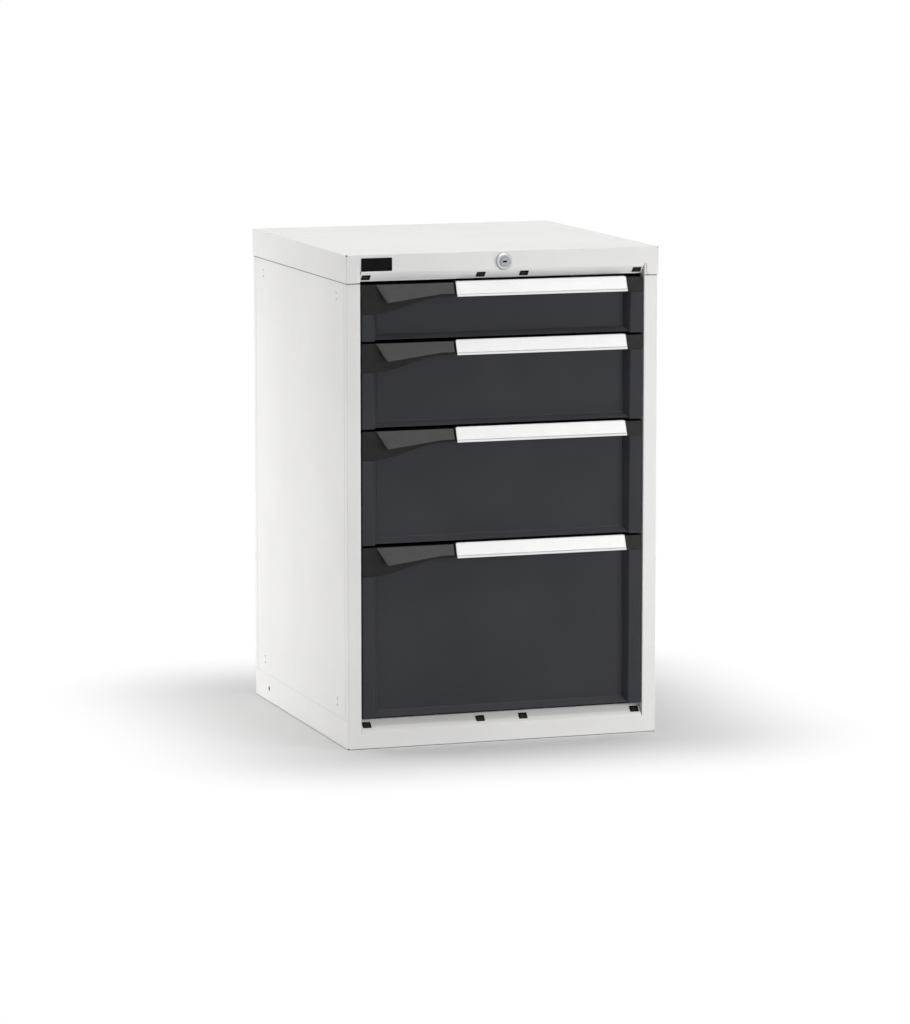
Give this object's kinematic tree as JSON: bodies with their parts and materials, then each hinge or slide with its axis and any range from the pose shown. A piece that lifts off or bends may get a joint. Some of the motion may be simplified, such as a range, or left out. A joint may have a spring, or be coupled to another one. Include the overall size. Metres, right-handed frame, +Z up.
{
  "type": "drawer cabinet",
  "caption": "Floor-standing sheet-steel workshop cabinet with full-width drawers on roller runners, profile handles, slide latches and a central cylinder lock.",
  "frame": {"origin": "middle of the base's underside, on the floor", "axes": "+X to the cabinet's right as seen from the front, +Y to the back, +Z up; the drawers open towards -Y"},
  "size_m": [0.564, 0.5831, 0.85],
  "materials": {
    "carcass_paint": "light grey powder coat",
    "front_paint": "anthracite powder coat",
    "zinc_sheet": "zinc plated",
    "black_plastic": "matt black",
    "cap_plastic": "matt dark grey",
    "handle_profile": "satin anodised",
    "label_white": "blank white",
    "roller_nylon": "natural nylon",
    "lock_chrome": "satin chrome"
  },
  "bodies": {
    "carcass": {"base_frame": "carcass_paint", "left_side_panel": "carcass_paint", "right_side_panel": "carcass_paint", "back_panel": "carcass_paint", "top_cover": "carcass_paint", "rail_columns": "zinc_sheet", "cabinet_rails": "zinc_sheet", "column_rivets": "zinc_sheet", "slot_plugs": "black_plastic", "badge_plate": "black_plastic", "lock_housing": "lock_chrome", "lock_nut": "zinc_sheet"},
    "key_cylinder": {"lock_cylinder": "lock_chrome"},
    "lock_yoke": {"lock_slider": "zinc_sheet"},
    "locking_bar": {"lock_bar": "zinc_sheet"},
    "drawer_1": {"drawer_1_tray": "front_paint", "drawer_1_front": "front_paint", "drawer_1_handle": "handle_profile", "drawer_1_label_strip": "label_white", "drawer_1_left_cap": "cap_plastic", "drawer_1_right_cap": "cap_plastic", "drawer_1_runners": "zinc_sheet"},
    "drawer_1_bolt": {"drawer_1_latch": "cap_plastic"},
    "drawer_1_carriage": {"drawer_1_carriages": "zinc_sheet"},
    "drawer_1_front_pair": {"drawer_1_front_rollers": "roller_nylon"},
    "drawer_1_middle_pair": {"drawer_1_middle_rollers": "roller_nylon"},
    "drawer_2": {"drawer_2_tray": "front_paint", "drawer_2_front": "front_paint", "drawer_2_handle": "handle_profile", "drawer_2_label_strip": "label_white", "drawer_2_left_cap": "cap_plastic", "drawer_2_right_cap": "cap_plastic", "drawer_2_runners": "zinc_sheet"},
    "drawer_2_bolt": {"drawer_2_latch": "cap_plastic"},
    "drawer_2_carriage": {"drawer_2_carriages": "zinc_sheet"},
    "drawer_2_front_pair": {"drawer_2_front_rollers": "roller_nylon"},
    "drawer_2_middle_pair": {"drawer_2_middle_rollers": "roller_nylon"},
    "drawer_3": {"drawer_3_tray": "front_paint", "drawer_3_front": "front_paint", "drawer_3_handle": "handle_profile", "drawer_3_label_strip": "label_white", "drawer_3_left_cap": "cap_plastic", "drawer_3_right_cap": "cap_plastic", "drawer_3_runners": "zinc_sheet"},
    "drawer_3_bolt": {"drawer_3_latch": "cap_plastic"},
    "drawer_3_carriage": {"drawer_3_carriages": "zinc_sheet"},
    "drawer_3_front_pair": {"drawer_3_front_rollers": "roller_nylon"},
    "drawer_3_middle_pair": {"drawer_3_middle_rollers": "roller_nylon"},
    "drawer_4": {"drawer_4_tray": "front_paint", "drawer_4_front": "front_paint", "drawer_4_handle": "handle_profile", "drawer_4_label_strip": "label_white", "drawer_4_left_cap": "cap_plastic", "drawer_4_right_cap": "cap_plastic", "drawer_4_runners": "zinc_sheet"},
    "drawer_4_bolt": {"drawer_4_latch": "cap_plastic"},
    "drawer_4_carriage": {"drawer_4_carriages": "zinc_sheet"},
    "drawer_4_front_pair": {"drawer_4_front_rollers": "roller_nylon"},
    "drawer_4_middle_pair": {"drawer_4_middle_rollers": "roller_nylon"}
  },
  "joints": [
    {"name": "drawer_1_slide", "type": "slide", "parent": "carcass", "child": "drawer_1", "axis": [0, -1, 0], "range_m": [0, 0.43]},
    {"name": "drawer_1_carriage_slide", "type": "slide", "parent": "carcass", "child": "drawer_1_carriage", "axis": [0, -1, 0], "range_m": [0, 0.215]},
    {"name": "drawer_1_front_roll", "type": "hinge", "parent": "drawer_1_carriage", "child": "drawer_1_front_pair", "pos_m": [0, -0.2404, 0.726], "axis": [1, 0, 0], "range_deg": [0, 1141]},
    {"name": "drawer_1_middle_roll", "type": "hinge", "parent": "drawer_1_carriage", "child": "drawer_1_middle_pair", "pos_m": [0, -0.03375, 0.726], "axis": [1, 0, 0], "range_deg": [0, 1141]},
    {"name": "drawer_1_latch_slide", "type": "slide", "parent": "drawer_1", "child": "drawer_1_bolt", "axis": [-1, 0, 0], "range_m": [0, 0.008]},
    {"name": "drawer_2_slide", "type": "slide", "parent": "carcass", "child": "drawer_2", "axis": [0, -1, 0], "range_m": [0, 0.43]},
    {"name": "drawer_2_carriage_slide", "type": "slide", "parent": "carcass", "child": "drawer_2_carriage", "axis": [0, -1, 0], "range_m": [0, 0.215]},
    {"name": "drawer_2_front_roll", "type": "hinge", "parent": "drawer_2_carriage", "child": "drawer_2_front_pair", "pos_m": [0, -0.2404, 0.576], "axis": [1, 0, 0], "range_deg": [0, 1141]},
    {"name": "drawer_2_middle_roll", "type": "hinge", "parent": "drawer_2_carriage", "child": "drawer_2_middle_pair", "pos_m": [0, -0.03375, 0.576], "axis": [1, 0, 0], "range_deg": [0, 1141]},
    {"name": "drawer_2_latch_slide", "type": "slide", "parent": "drawer_2", "child": "drawer_2_bolt", "axis": [-1, 0, 0], "range_m": [0, 0.008]},
    {"name": "drawer_3_slide", "type": "slide", "parent": "carcass", "child": "drawer_3", "axis": [0, -1, 0], "range_m": [0, 0.43]},
    {"name": "drawer_3_carriage_slide", "type": "slide", "parent": "carcass", "child": "drawer_3_carriage", "axis": [0, -1, 0], "range_m": [0, 0.215]},
    {"name": "drawer_3_front_roll", "type": "hinge", "parent": "drawer_3_carriage", "child": "drawer_3_front_pair", "pos_m": [0, -0.2404, 0.376], "axis": [1, 0, 0], "range_deg": [0, 1141]},
    {"name": "drawer_3_middle_roll", "type": "hinge", "parent": "drawer_3_carriage", "child": "drawer_3_middle_pair", "pos_m": [0, -0.03375, 0.376], "axis": [1, 0, 0], "range_deg": [0, 1141]},
    {"name": "drawer_3_latch_slide", "type": "slide", "parent": "drawer_3", "child": "drawer_3_bolt", "axis": [-1, 0, 0], "range_m": [0, 0.008]},
    {"name": "drawer_4_slide", "type": "slide", "parent": "carcass", "child": "drawer_4", "axis": [0, -1, 0], "range_m": [0, 0.43]},
    {"name": "drawer_4_carriage_slide", "type": "slide", "parent": "carcass", "child": "drawer_4_carriage", "axis": [0, -1, 0], "range_m": [0, 0.215]},
    {"name": "drawer_4_front_roll", "type": "hinge", "parent": "drawer_4_carriage", "child": "drawer_4_front_pair", "pos_m": [0, -0.2404, 0.076], "axis": [1, 0, 0], "range_deg": [0, 1141]},
    {"name": "drawer_4_middle_roll", "type": "hinge", "parent": "drawer_4_carriage", "child": "drawer_4_middle_pair", "pos_m": [0, -0.03375, 0.076], "axis": [1, 0, 0], "range_deg": [0, 1141]},
    {"name": "drawer_4_latch_slide", "type": "slide", "parent": "drawer_4", "child": "drawer_4_bolt", "axis": [-1, 0, 0], "range_m": [0, 0.008]},
    {"name": "locking_bar_drop", "type": "slide", "parent": "carcass", "child": "locking_bar", "axis": [0, 0, -1], "range_m": [0, 0.009]},
    {"name": "lock_yoke_slide", "type": "slide", "parent": "carcass", "child": "lock_yoke", "axis": [1, 0, 0], "range_m": [0, 0.009]},
    {"name": "lock_turn", "type": "hinge", "parent": "carcass", "child": "key_cylinder", "pos_m": [0, -0.28, 0.832], "axis": [0, 1, 0], "range_deg": [0, 90]}
  ],
  "couplings": [
    {"joint": "drawer_1_carriage_slide", "follows": "drawer_1_slide", "ratio": 0.5},
    {"joint": "drawer_1_front_roll", "follows": "drawer_1_slide", "rad_per_m": 46.296},
    {"joint": "drawer_1_middle_roll", "follows": "drawer_1_slide", "rad_per_m": 46.296},
    {"joint": "drawer_2_carriage_slide", "follows": "drawer_2_slide", "ratio": 0.5},
    {"joint": "drawer_2_front_roll", "follows": "drawer_2_slide", "rad_per_m": 46.296},
    {"joint": "drawer_2_middle_roll", "follows": "drawer_2_slide", "rad_per_m": 46.296},
    {"joint": "drawer_3_carriage_slide", "follows": "drawer_3_slide", "ratio": 0.5},
    {"joint": "drawer_3_front_roll", "follows": "drawer_3_slide", "rad_per_m": 46.296},
    {"joint": "drawer_3_middle_roll", "follows": "drawer_3_slide", "rad_per_m": 46.296},
    {"joint": "drawer_4_carriage_slide", "follows": "drawer_4_slide", "ratio": 0.5},
    {"joint": "drawer_4_front_roll", "follows": "drawer_4_slide", "rad_per_m": 46.296},
    {"joint": "drawer_4_middle_roll", "follows": "drawer_4_slide", "rad_per_m": 46.296},
    {"joint": "lock_yoke_slide", "follows": "locking_bar_drop", "ratio": 1},
    {"joint": "lock_turn", "follows": "locking_bar_drop", "rad_per_m": 174.53}
  ]
}
